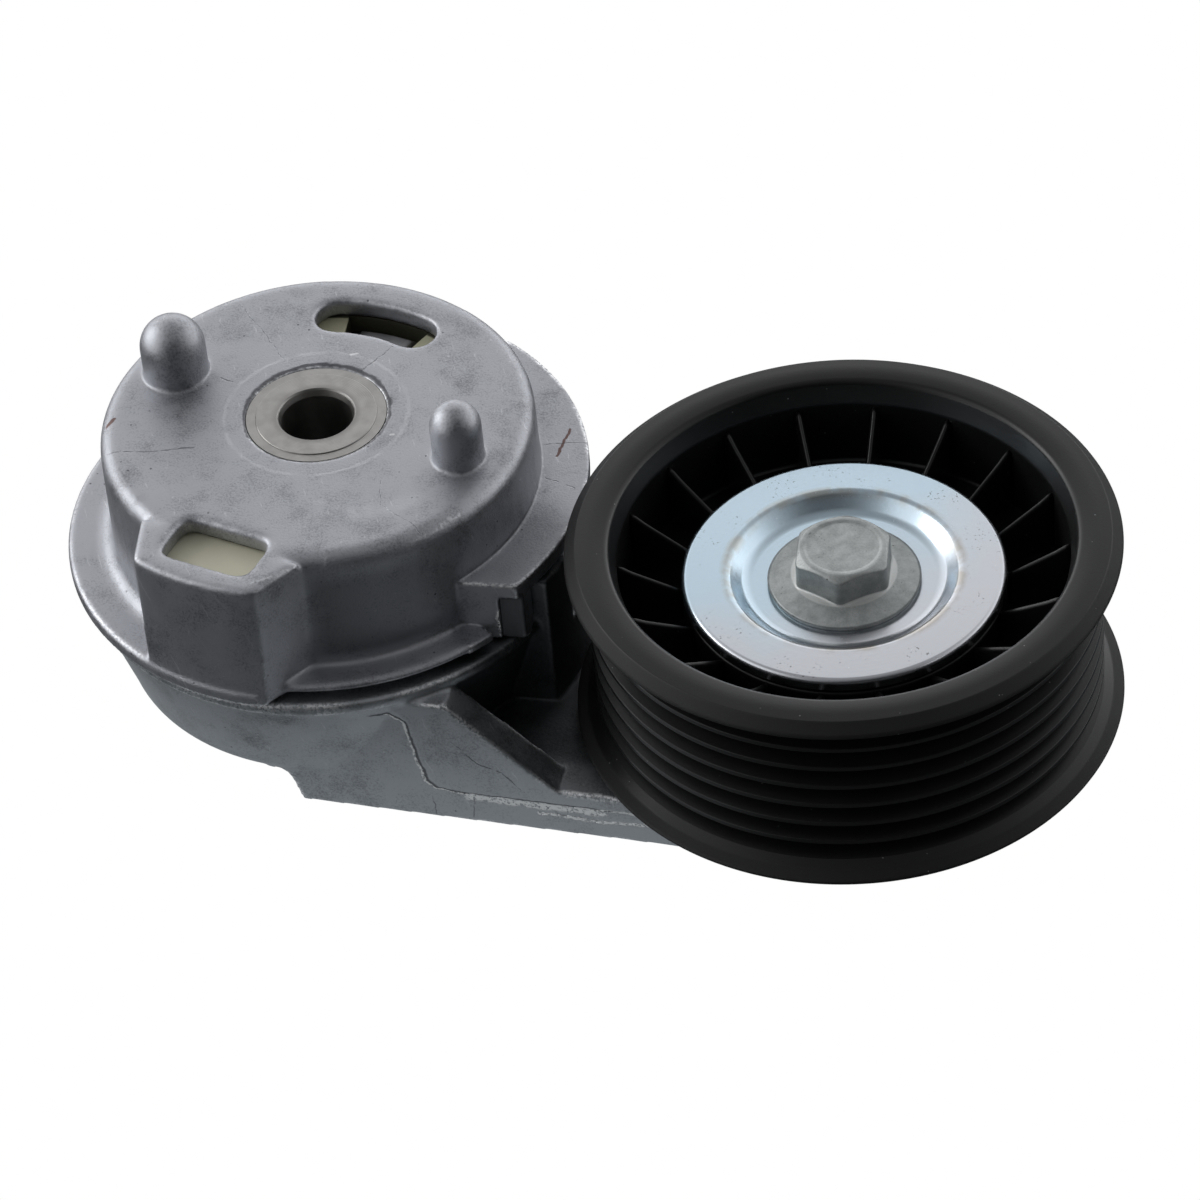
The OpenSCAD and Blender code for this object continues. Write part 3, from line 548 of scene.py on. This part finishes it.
def plated_zinc(name, axis):
    """Bright zinc, bluer at the back left and greyer at the front right, with straw in the bend."""
    f = Finish(name)
    radius = f.from_axis(axis)
    tint = f.cloud(26, 3)
    side = 0.014 * (f.axis("X") - axis[0]) - 0.014 * f.axis("Y")
    colour = f.mix((tint + side).rise(0.3, 0.75), BLUE_ZINC, GREY_ZINC)
    straw = (1 - (radius - BEND_R).unsigned().rise(0.2, 1.3)) * f.cloud(4, 3).rise(0.4, 0.65)
    colour = f.mix(straw * 0.5, colour, STRAW)
    on_face = radius.rise(BEND_R + 0.2, BEND_R + 2.4)
    speck = f.cloud(0.4, 2).rise(0.64, 0.7) * f.cloud(5, 2).rise(0.48, 0.6) * on_face
    colour = f.mix(speck * 0.7, colour, (0.14, 0.14, 0.13))
    scuff = f.cloud(0.7, 4)
    rough = 0.17 + 0.1 * scuff + 0.06 * tint
    rings = (radius * 9).sine()
    return f.done(Base_Color=colour, Metallic=1.0, Roughness=rough, Normal=f.bumps(scuff + rings * 0.05, 0.006))


def flake_coat(name):
    """Grey coat, worn bright along the foot of the hexagon."""
    f = Finish(name)
    patch = f.cloud(1.8, 4, roughness=0.6)
    grain = f.cloud(0.25, 3)
    speck = f.dots(1.5, 0.06, 0.13) * f.cloud(3, 2).rise(0.5, 0.6)
    colour = f.mix(0.7 * patch.rise(0.28, 0.72) + 0.3 * grain.rise(0.3, 0.7), DULL_FLAKE, PALE_FLAKE)
    grit = f.dots(0.6, 0.1, 0.22) * f.cloud(2.2, 2).rise(0.5, 0.62)
    colour = f.mix((speck + grit * 0.6).least(1.0) * 0.7, colour, (0.08, 0.08, 0.08))
    radius = f.from_axis(WHEEL)
    off_joint = (f.axis("Z") - JOINT_Z + 0.3 * (radius - JOINT_R)).unsigned()
    joint = (1 - off_joint.rise(0.06, 0.2)) * (1 - radius.rise(JOINT_R + 0.1, JOINT_R + 0.4))
    colour = f.mix(joint * 0.6, colour, BARE)
    return f.done(Base_Color=colour, Metallic=0.85, Roughness=0.42 + 0.18 * patch,
                  Normal=f.bumps(patch * 0.6 + grain * 0.4, 0.03))


# %% Finishes for steel, nylon and rubber
TOOL_RINGS = 22
DRUM_BORE = 25


def turned_steel(name, tone, axis, roughness=0.34, shaded_within=None):
    """Steel with the rings of the tool. It is darker inside the given radius, as painted shade in the bore."""
    f = Finish(name)
    radius = f.from_axis(axis)
    rings = (radius * TOOL_RINGS + f.axis("Z") * TOOL_RINGS).sine()
    patch = f.cloud(2.4, 4)
    colour = f.mix(patch.rise(0.3, 0.7), dimmed(tone, 0.82), tone)
    if shaded_within:
        colour = f.mix((1 - radius.rise(shaded_within, shaded_within + 1)) * 0.5, colour, dimmed(tone, 0.5))
    return f.done(Base_Color=colour, Metallic=1.0, Roughness=roughness + 0.14 * patch,
                  Normal=f.bumps(rings * 0.5 + patch * 0.5, 0.008))


def plain_nylon(name, tone, roughness=0.42, shade_below=None):
    """Natural nylon. Below the given height, and under the drum's wall, it is near black: painted shade."""
    f = Finish(name)
    cloudy = f.cloud(4, 3)
    grain = f.cloud(0.4, 3)
    colour = f.mix(cloudy, dimmed(tone, 0.86), tone)
    if shade_below is not None:
        low = 1 - f.axis("Z").rise(shade_below - 0.3, shade_below)
        painted_dark = low.most(f.from_axis(PIVOT).rise(DRUM_BORE, DRUM_BORE + 0.4))
        colour = f.mix(painted_dark, colour, dimmed(tone, 0.1))
    return f.done(Base_Color=colour, Roughness=roughness + 0.1 * grain, Normal=f.bumps(grain, 0.015))


# %% All the finishes by name
finishes = {
    "pulley_plastic": black_nylon("pulley_plastic"),
    "shield_zinc": plated_zinc("shield_zinc", WHEEL),
    "bolt_coat": flake_coat("bolt_coat"),
    "tube_steel": turned_steel("tube_steel", (0.42, 0.41, 0.395), PIVOT, shaded_within=5.8),
    "bearing_steel": turned_steel("bearing_steel", (0.6, 0.6, 0.6), WHEEL, 0.2),
    "plate_steel": turned_steel("plate_steel", (0.5, 0.5, 0.5), PIVOT, 0.38),
    "spring_steel": turned_steel("spring_steel", (0.45, 0.45, 0.46), PIVOT, 0.35),
    "nylon": plain_nylon("nylon", (0.74, 0.72, 0.56)),
    # A darker tone for the spring bush, and near black in its depths: painted shade.
    "shaded_nylon": plain_nylon("shaded_nylon", (0.5, 0.49, 0.34), 0.35, -3.4),
    "cage_plastic": plain_nylon("cage_plastic", (0.25, 0.17, 0.09)),
    "seal_rubber": plain_nylon("seal_rubber", (0.02, 0.02, 0.021), 0.6),
    "cast_base": base_finish,
    "cast_arm": arm_finish,
}
print("finishes:", len(finishes))

# %% [markdown]
# ## Tools for shaping
# Turned pieces are drawn as half of a section, with a radius at each corner, and swept round their
# axis, the way a lathe makes them. Castings start from the frame's own solid: an even skin of small
# squares over it, eased point by point towards its neighbours, rounds every edge as a die does. Bevels
# on each edge would also work, but the castings have many odd corners, and the skin treats them alike.

# %% A piece is seated once it has its shape
MERGE = 0.002


def seat(piece, body, slot, *nodes):
    piece.data.materials.clear()
    piece.data.materials.append(finishes[slot])
    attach(piece, body)
    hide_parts(*nodes)
    print(piece.name, "stands for", ", ".join(nodes), "with", len(piece.data.polygons), "faces")


def new_piece(name, points, faces):
    """A smooth mesh from points in millimetres."""
    mesh = bpy.data.meshes.new(name)
    mesh.from_pydata((np.asarray(points) * MM).tolist(), [], faces)
    shape = bmesh.new()
    shape.from_mesh(mesh)
    bmesh.ops.remove_doubles(shape, verts=shape.verts, dist=MERGE * MM)
    bmesh.ops.recalc_face_normals(shape, faces=shape.faces)
    shape.to_mesh(mesh)
    shape.free()
    mesh.shade_smooth()
    piece = bpy.data.objects.new(name, mesh)
    scene.collection.objects.link(piece)
    piece.modifiers.new("even_shading", "WEIGHTED_NORMAL")
    return piece


# %% Faces between rings of points
def ring_faces(rings, count, looped=False):
    """Faces from each ring of count points to the next, and from the last to the first if looped."""
    faces = []
    for j in range(rings if looped else rings - 1):
        here, after = j * count, (j + 1) % rings * count
        for i in range(count):
            beside = (i + 1) % count
            faces.append((here + i, here + beside, after + beside, after + i))
    return faces


def end_faces(rings, count):
    """Faces that close the first ring and the last one."""
    return [tuple(range(count)), tuple(range((rings - 1) * count, rings * count))]


# %% Outlines with rounded corners, and the lathe
MOST_OF_SIDE = 0.48
NEARLY_STRAIGHT = math.radians(89)


def rounded(corners, bites=5):
    """A closed outline in which each corner (across, up, radius) becomes an arc."""
    outline = []
    for i, (across, up, radius) in enumerate(corners):
        here = Vector((across, up))
        back = Vector(corners[i - 1][:2]) - here
        ahead = Vector(corners[(i + 1) % len(corners)][:2]) - here
        half = back.angle(ahead) / 2
        if radius == 0 or half > NEARLY_STRAIGHT:
            outline.append(here)
            continue
        reach = min(radius / math.tan(half), MOST_OF_SIDE * back.length, MOST_OF_SIDE * ahead.length)
        radius = reach * math.tan(half)
        start = here + back.normalized() * reach
        end = here + ahead.normalized() * reach
        middle = (back.normalized() + ahead.normalized()).normalized()
        centre = here + middle * (radius / math.sin(half))
        for k in range(bites + 1):
            outline.append(centre + (start.lerp(end, k / bites) - centre).normalized() * radius)
    return np.array([tuple(p) for p in outline])


def swept(outline, axis, steps):
    """Points and faces of an outline swept round an axis."""
    turns = np.linspace(0, 2 * math.pi, steps, endpoint=False)
    points = [(axis[0] + r * math.cos(t), axis[1] + r * math.sin(t), z) for t in turns for r, z in outline]
    return points, ring_faces(steps, len(outline), looped=True)


def turned(name, corners, axis, steps):
    return new_piece(name, *swept(rounded(corners), axis, steps))


# %% The even skin of a casting
def even_skin(name, node, depth, scale):
    """The node's solid under an even mesh of small squares, with its edges kept sharp."""
    rough_copy = bpy.data.objects.new(name + "_rough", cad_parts[node].data.copy())
    scene.collection.objects.link(rough_copy)
    skin = rough_copy.modifiers.new("skin", "REMESH")
    skin.mode = "SHARP"
    skin.octree_depth = depth
    skin.scale = scale
    skin.use_remove_disconnected = False
    mesh = bpy.data.meshes.new_from_object(rough_copy.evaluated_get(bpy.context.evaluated_depsgraph_get()))
    bpy.data.objects.remove(rough_copy)
    shape = bmesh.new()
    shape.from_mesh(mesh)
    pinched = {v for e in shape.edges if len(e.link_faces) != 2 for v in e.verts}
    bmesh.ops.delete(shape, geom=list(pinched), context="VERTS")
    bmesh.ops.holes_fill(shape, edges=[e for e in shape.edges if e.is_boundary])
    still_open = sum(not e.is_manifold for e in shape.edges)
    print(name, "skin mended at", len(pinched), "points, open edges:", still_open)
    shape.to_mesh(mesh)
    shape.free()
    mesh.name = name
    return mesh


# %% Edges eased as a die does
EDGE_GAIN = 8


def softened(mesh, rounds, rounder=()):
    """Eases the edges of a skin, and keeps an edge and a hollow value at each point. The rounder places
    are (centre, reach, rounds)."""
    place = np.empty((len(mesh.vertices), 3))
    normal = np.empty_like(place)
    ends = np.empty((len(mesh.edges), 2), dtype=np.int32)
    mesh.vertices.foreach_get("co", place.ravel())
    mesh.edges.foreach_get("vertices", ends.ravel())
    place /= MM
    one, two = ends.T
    near = np.bincount(one, minlength=len(place)) + np.bincount(two, minlength=len(place))

    def average(values):
        columns = values.reshape(len(values), -1).T
        total = [np.bincount(one, c[two], len(c)) + np.bincount(two, c[one], len(c)) for c in columns]
        return (np.array(total) / near).T.reshape(values.shape)

    wanted = np.full(len(place), rounds)
    for centre, reach, more in rounder:
        wanted[np.linalg.norm(place - centre, axis=1) < reach] = more
    for done in range(wanted.max()):
        place += 0.5 * (wanted > done)[:, None] * (average(place) - place)
    mesh.vertices.foreach_set("co", (place * MM).ravel())
    mesh.update()
    mesh.vertex_normals.foreach_get("vector", normal.ravel())
    spacing = np.linalg.norm(place[one] - place[two], axis=1).mean()
    bulge = average(average(((place - average(place)) * normal).sum(1) / spacing)) * EDGE_GAIN
    for layer, values in (("edge", bulge), ("hollow", -bulge)):
        mesh.attributes.new(layer, "FLOAT", "POINT").data.foreach_set("value", np.clip(values, 0, 1))
    mesh.shade_smooth()
    piece = bpy.data.objects.new(mesh.name, mesh)
    scene.collection.objects.link(piece)
    return piece


# %% [markdown]
# ## The two castings
# The housing carries the drum, the two locating pegs, the damper box and the stop. The arm carries the
# cup that holds the spring, the plate that reaches out to the pulley and the boss under its bearing.
# They could be modelled again face by face, but the frame's solids already hold each wall and opening
# at its place, so each casting is its solid's own skin, eased more where the real edges are rounder.

# %% Housing and arm
DAMPER_BOX = ((-4, -33, 0), 17, 30)
SPRING_SLOT = ((1.2, 22, 0), 13, 20)
FRONT_LEDGE = ((18, -31, -20), 15, 30)
base_skin = even_skin("base_shell", "base_housing", depth=8, scale=0.93)
seat(softened(base_skin, 5, [DAMPER_BOX, SPRING_SLOT, FRONT_LEDGE]), "base", "cast_base", "base_housing")
arm_skin = even_skin("arm_shell", "arm_casting", depth=9, scale=0.62)
seat(softened(arm_skin, 4), "arm", "cast_arm", "arm_casting")

# %% [markdown]
# ## The pulley
# A moulded wheel with seven V grooves between two flanges. Inside, a web and eighteen thin spokes on
# each side tie the rim to the hub that holds the bearing. Grooves could be cut from a cylinder, but one
# section swept round the axis gives each rim, crest and root its own small radius. The spokes rise
# towards the rim and have round tops, so each is a row of sections from the hub outwards.

# %% Rim, grooves, web and hub
WHEEL_TOP, WHEEL_LOW = -5, -36.9
WHEEL_MID = (WHEEL_TOP + WHEEL_LOW) / 2
GROOVES, PITCH, CREST, ROOT = 7, 3.56, 36.5, 34.1
CREST_HALF, ROOT_HALF = 1.43, 0.5
RIM_IN, MOUTH, CROWN, SHOULDER, RIM_OUT = 32, 33.1, 35.4, 37.75, 39.45
HUB_IN, HUB_OUT, HUB_HALF = 20.02, 23, 6.8
WEB_HALF = 1.5
WHEEL_STEPS = 240


def wheel_half(side):
    """Corners from the hub's face to the last crest, on the front side (1) or the rear side (-1)."""
    drop = (WHEEL_TOP - WHEEL_LOW) / 2
    steps = [(HUB_IN, HUB_HALF, 0.3), (HUB_OUT, HUB_HALF, 0.5), (HUB_OUT, WEB_HALF, 0.7),
             (RIM_IN, WEB_HALF, 0.7), (RIM_IN, drop - 3.6, 2.5), (MOUTH, drop - 0.3, 1.1),
             (CROWN, drop, 9), (SHOULDER, drop - 0.2, 0.25), (RIM_OUT - 0.25, drop - 1.5, 0.7),
             (RIM_OUT, drop - 2.0, 0.3), (RIM_OUT - 0.35, drop - 2.3, 0.2)]
    return [(r, WHEEL_MID + side * z, c) for r, z, c in steps]


belt_face = []
for k in range(GROOVES):
    z = WHEEL_MID + ((GROOVES - 1) / 2 - k) * PITCH
    belt_face += [(CREST, z + CREST_HALF, 0.15), (ROOT, z + ROOT_HALF, 0.3),
                  (ROOT, z - ROOT_HALF, 0.3), (CREST, z - CREST_HALF, 0.15)]
wheel_corners = wheel_half(1) + belt_face + wheel_half(-1)[::-1]
wheel_points, wheel_faces = swept(rounded(wheel_corners, bites=4), WHEEL, WHEEL_STEPS)
print("rim and hub:", len(wheel_faces), "faces")

# %% Spokes
SPOKES, FIRST_SPOKE, STATIONS = 18, 19, 9
HUB_END, RIM_GAIN, FLARE, FLARE_REACH = 6.3, 5.65, 0.8, 0.6
SPOKE_TOP = [(-0.7, None), (-0.5, -0.55), (-0.22, -0.12), (0, 0), (0.22, -0.12), (0.5, -0.55), (0.7, None)]


def spoke(angle, side):
    """Points and faces of one thin rib with a rounded top, from the hub to the rim."""
    stations = np.linspace(HUB_OUT - 0.5, RIM_IN + 0.4, STATIONS)
    points = []
    for r in stations:
        share = (r - stations[0]) / (stations[-1] - stations[0])
        top = HUB_END + share * RIM_GAIN + FLARE * math.exp(-(RIM_IN - r) / FLARE_REACH) * (r <= RIM_IN)
        for across, down in SPOKE_TOP:
            up = WEB_HALF - 0.3 if down is None else top + down
            x = r * math.cos(angle) - across * math.sin(angle)
            y = r * math.sin(angle) + across * math.cos(angle)
            points.append((WHEEL[0] + x, WHEEL[1] + y, WHEEL_MID + side * up))
    return points, ring_faces(STATIONS, len(SPOKE_TOP)) + end_faces(STATIONS, len(SPOKE_TOP))


for side in (1, -1):
    for k in range(SPOKES):
        points, faces = spoke(math.radians(FIRST_SPOKE + k * 360 / SPOKES), side)
        wheel_faces += [tuple(i + len(wheel_points) for i in face) for face in faces]
        wheel_points += points
seat(new_piece("pulley_shell", wheel_points, wheel_faces), "pulley", "pulley_plastic", "pulley_wheel")

# %% [markdown]
# ## Shield, bolt and tube
# The dust shield is pressed from sheet: a flat ring, a dished middle and a rolled rim. The bolt clamps
# it with a washer face under its hexagon. The pivot tube is the steel core that the housing is
# bolted through, with its sharp inner edge broken. Shield and tube are turned from one section each. A
# hexagon isn't round, and a bevelled one would meet the washer face too sharply, so the bolt is a stack
# of rings whose radius runs smoothly from washer to flats to the crown, as forging leaves it.

# %% Dust shield
DISH, FACE, SHEET_T, SHIELD_R = -13.95, -11.65, 1.0, 23.1
SHIELD_BORE, DISH_R, STEP_R, SLANT_T = 5.3, 14, 16.5, 0.6
SKIRT = FACE - 1.9
shield_corners = [(SHIELD_BORE, DISH, 0.1), (DISH_R, DISH, 2.4), (STEP_R, FACE, 1.5),
                  (SHIELD_R, FACE - 0.1, 1.5), (SHIELD_R, SKIRT, 0.15), (SHIELD_R - 0.6, SKIRT, 0.15),
                  (SHIELD_R - 0.9, FACE - SHEET_T, 0.1), (STEP_R + SLANT_T, FACE - SHEET_T, 1.2),
                  (DISH_R + SLANT_T, DISH - SHEET_T, 1.2), (SHIELD_BORE, DISH - SHEET_T, 0.1)]
seat(turned("shield_disc", shield_corners, WHEEL, steps=220), "arm", "shield_zinc", "dust_shield")

# %% Bolt
HEX_FLATS, HEX_CORNER, HEX_TURN, HEX_H = 13, 7.3, -17.5, 6.5
FLANGE_R, FLANGE_T, SHANK_R, BOLT_L = 10.65, 0.9, 5, 27
HEAD_START, HEAD_RINGS, BOLT_STEPS = 0.75, 48, 240
WASHER_SLOPE, CHAMFER_H, CHAMFER_SLOPE = 3.4, 0.9, 1.6
RECESS, RECESS_SHARE = 0.22, 0.87
TOP_SHARES = (0.97, 0.94, 0.9, 0.86, 0.82, 0.5, 0.2, 0)


def soft_least(a, b, ease):
    """The lesser of two radii, with a smooth change from one to the other."""
    share = np.clip(0.5 + 0.5 * (b - a) / ease, 0, 1)
    return b + (a - b) * share - ease * share * (1 - share)


def bolt_head(turns):
    """Rings of radius and height, from the washer face up to the middle of the top."""
    corner = np.mod(np.degrees(turns) - HEX_TURN, 60) - 30
    hexagon = soft_least(HEX_FLATS / 2 / np.cos(np.radians(corner)), HEX_CORNER, 0.25)
    rings = []
    for up in np.linspace(HEAD_START, HEX_H, HEAD_RINGS):
        washer = FLANGE_R - 0.25 - (up - FLANGE_T) * WASHER_SLOPE
        chamfer = HEX_CORNER + 0.2 - max(0, up - HEX_H + CHAMFER_H) * CHAMFER_SLOPE
        shape = soft_least(hexagon, chamfer, 0.35)
        rings.append((-soft_least(-shape, -np.full_like(shape, washer), 0.3), DISH + up))
    top = rings[-1][0]
    return rings + [(top * s, DISH + HEX_H - RECESS * (s < RECESS_SHARE)) for s in TOP_SHARES]


turns = np.linspace(0, 2 * math.pi, BOLT_STEPS, endpoint=False)
foot = [(0, -BOLT_L), (SHANK_R - 0.8, -BOLT_L), (SHANK_R, -BOLT_L + 0.8), (SHANK_R, 0), (FLANGE_R - 0.2, 0),
        (FLANGE_R - 0.05, 0.06), (FLANGE_R, 0.2), (FLANGE_R, 0.5), (FLANGE_R - 0.08, 0.66)]
rings = [(np.full_like(turns, r), DISH + z) for r, z in foot] + bolt_head(turns)
bolt_points = [(WHEEL[0] + r * math.cos(t), WHEEL[1] + r * math.sin(t), z)
               for radii, z in rings for r, t in zip(radii, turns)]
bolt_faces = ring_faces(len(rings), BOLT_STEPS)
seat(new_piece("bolt_body", bolt_points, bolt_faces), "arm", "bolt_coat", "pulley_bolt")

# %% Pivot tube
BORE_R, TUBE_R, ROLL_R, ROLL_TOP, ROLL_LOW = 5.2, 8.8, 10.6, -45.15, -46.15
tube_corners = [(BORE_R, -1.1, 0.15), (BORE_R + 0.3, -0.25, 0.1), (BORE_R + 0.5, 0, 0.12),
                (TUBE_R, 0, 0.15), (TUBE_R, ROLL_TOP, 0), (ROLL_R, ROLL_TOP, 0.1),
                (ROLL_R, ROLL_LOW, 0.5), (BORE_R, ROLL_LOW, 0.4)]
seat(turned("tube_body", tube_corners, PIVOT, steps=160), "base", "tube_steel", "pivot_tube")

# %% [markdown]
# ## The torsion spring
# Inside the drum a flat-sided wire winds down into the arm's cup, and its upper end rises to just
# under the housing's slot. A curve with a square bevel would twist on the rise, so the wire's section
# is placed ring by ring along the same formula that winds the solid.

# %% Spring
SPRING_R, WIRE_W, WIRE_H, WIRE_EDGE = 22.2, 4.2, 4, 0.5
SPRING_TOP, SPRING_LOW, COILS = -8.5, -33.05, 5
TANG_START, TANG_SPAN = 75, 25
TANG_RISE, TANG_RAMP = 2.3, 4
STEPS_A_TURN = 120

wire_section = rounded([(x * WIRE_W / 2, y * WIRE_H / 2, WIRE_EDGE)
                        for x, y in ((-1, -1), (1, -1), (1, 1), (-1, 1))], bites=3)
wire_rings = COILS * STEPS_A_TURN + 1
wire_points = []
for i in range(wire_rings):
    turn_deg = i * 360 / STEPS_A_TURN
    lift = TANG_RISE * min(1, max(0, (TANG_SPAN - turn_deg) / TANG_RAMP))
    middle = SPRING_TOP + (SPRING_LOW - SPRING_TOP) * turn_deg / (360 * COILS) + lift
    angle = math.radians(TANG_START + turn_deg)
    wire_points += [((SPRING_R + a) * math.cos(angle), (SPRING_R + a) * math.sin(angle), middle + b)
                    for a, b in wire_section]
wire_faces = ring_faces(wire_rings, len(wire_section)) + end_faces(wire_rings, len(wire_section))
seat(new_piece("spring_coil", wire_points, wire_faces), "base", "spring_steel", "torsion_spring")

# %% [markdown]
# ## Pieces that keep their solid
# The bushes, the washer, the bearing and the rest are plain turned or moulded shapes that the frame
# already holds at their real size. They could be made again, but nothing would change, so they only
# need their finish.

# %% Finishes on the frame's own pieces
KEPT = {
    "mounting_sleeve": "tube_steel", "damper_shoe": "nylon", "spring_bushing": "shaded_nylon",
    "pivot_bushing": "nylon", "spring_seat": "nylon", "thrust_washer": "nylon", "end_plate": "plate_steel",
    "bearing_outer_ring": "bearing_steel", "bearing_inner_ring": "bearing_steel",
    "bearing_balls": "bearing_steel", "bearing_cage": "cage_plastic",
    "bearing_seal_front": "seal_rubber", "bearing_seal_rear": "seal_rubber",
}
for node, slot in KEPT.items():
    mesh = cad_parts[node].data
    mesh.materials.clear()
    mesh.materials.append(finishes[slot])
print("kept:", ", ".join(KEPT))
